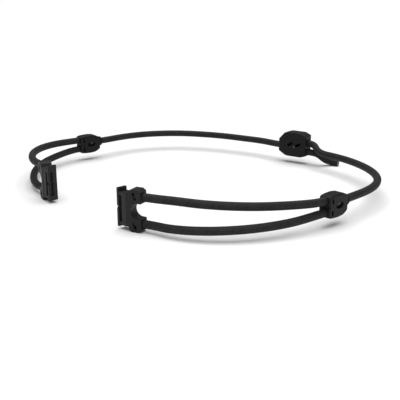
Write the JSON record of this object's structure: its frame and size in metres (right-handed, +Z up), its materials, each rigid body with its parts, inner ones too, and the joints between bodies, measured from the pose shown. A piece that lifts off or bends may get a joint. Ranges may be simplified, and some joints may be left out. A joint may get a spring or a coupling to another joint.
{
  "type": "elastic cord strap",
  "caption": "Elastic cord strap: two slotted hook clips on doubled braided cord, joined by Y junctions to single cord and a rear cord lock with a short loose tail.",
  "frame": {"origin": "on the surface the strap stands on, under the middle of the box around its plastic fittings", "axes": "+Z up, square to the loop's plane; +Y from the open front, between the clips, to the back of the loop; +X to the side with the cord lock and the right junction"},
  "size_m": [0.1481, 0.1447, 0.0155],
  "materials": {
    "clip_plastic": "fine moulded texture",
    "hook_plastic": "fine moulded texture",
    "junction_plastic": "fine moulded texture",
    "lock_plastic": "fine moulded texture",
    "stop_plastic": "smooth",
    "pin_steel": "blackened",
    "cord_braid": "fine round braid over a rubber core"
  },
  "bodies": {
    "lock_side": {"lock_body": "lock_plastic", "lock_cover": "lock_plastic", "lock_pin": "pin_steel", "lock_stop": "stop_plastic", "left_main_cord": "cord_braid", "left_junction_body": "junction_plastic", "left_junction_stops": "stop_plastic", "left_junction_end_stop": "stop_plastic", "left_yoke_cord_upper": "cord_braid", "left_yoke_cord_lower": "cord_braid"},
    "left_clip": {"left_clip_body": "clip_plastic", "left_clip_hook": "hook_plastic", "left_clip_stops": "stop_plastic"},
    "right_side": {"right_main_cord": "cord_braid", "right_junction_body": "junction_plastic", "right_junction_stops": "stop_plastic", "right_junction_end_stop": "stop_plastic", "right_yoke_cord_upper": "cord_braid", "right_yoke_cord_lower": "cord_braid"},
    "right_clip": {"right_clip_body": "clip_plastic", "right_clip_hook": "hook_plastic", "right_clip_stops": "stop_plastic"},
    "tail": {"tail_cord": "cord_braid"}
  },
  "joints": [
    {"name": "left_clip_swing", "type": "hinge", "parent": "lock_side", "child": "left_clip", "pos_m": [-0.06751, 0.01695, 0.00775], "axis": [0, 0, 1], "range_deg": [-20, 20], "deforming": ["left_yoke_cord_upper", "left_yoke_cord_lower"]},
    {"name": "right_clip_swing", "type": "hinge", "parent": "right_side", "child": "right_clip", "pos_m": [0.01529, -0.06405, 0.00775], "axis": [0, 0, 1], "range_deg": [-20, 20], "deforming": ["right_yoke_cord_upper", "right_yoke_cord_lower"]},
    {"name": "strap_adjust", "type": "slide", "parent": "lock_side", "child": "right_side", "axis": [-0.809, 0.5878, 0], "range_m": [0, 0.012], "deforming": ["right_main_cord"]},
    {"name": "tail_draw", "type": "slide", "parent": "lock_side", "child": "tail", "axis": [0.809, -0.5878, 0], "range_m": [0, 0.012], "deforming": ["tail_cord"]}
  ],
  "couplings": [
    {"joint": "tail_draw", "follows": "strap_adjust", "ratio": 1}
  ]
}
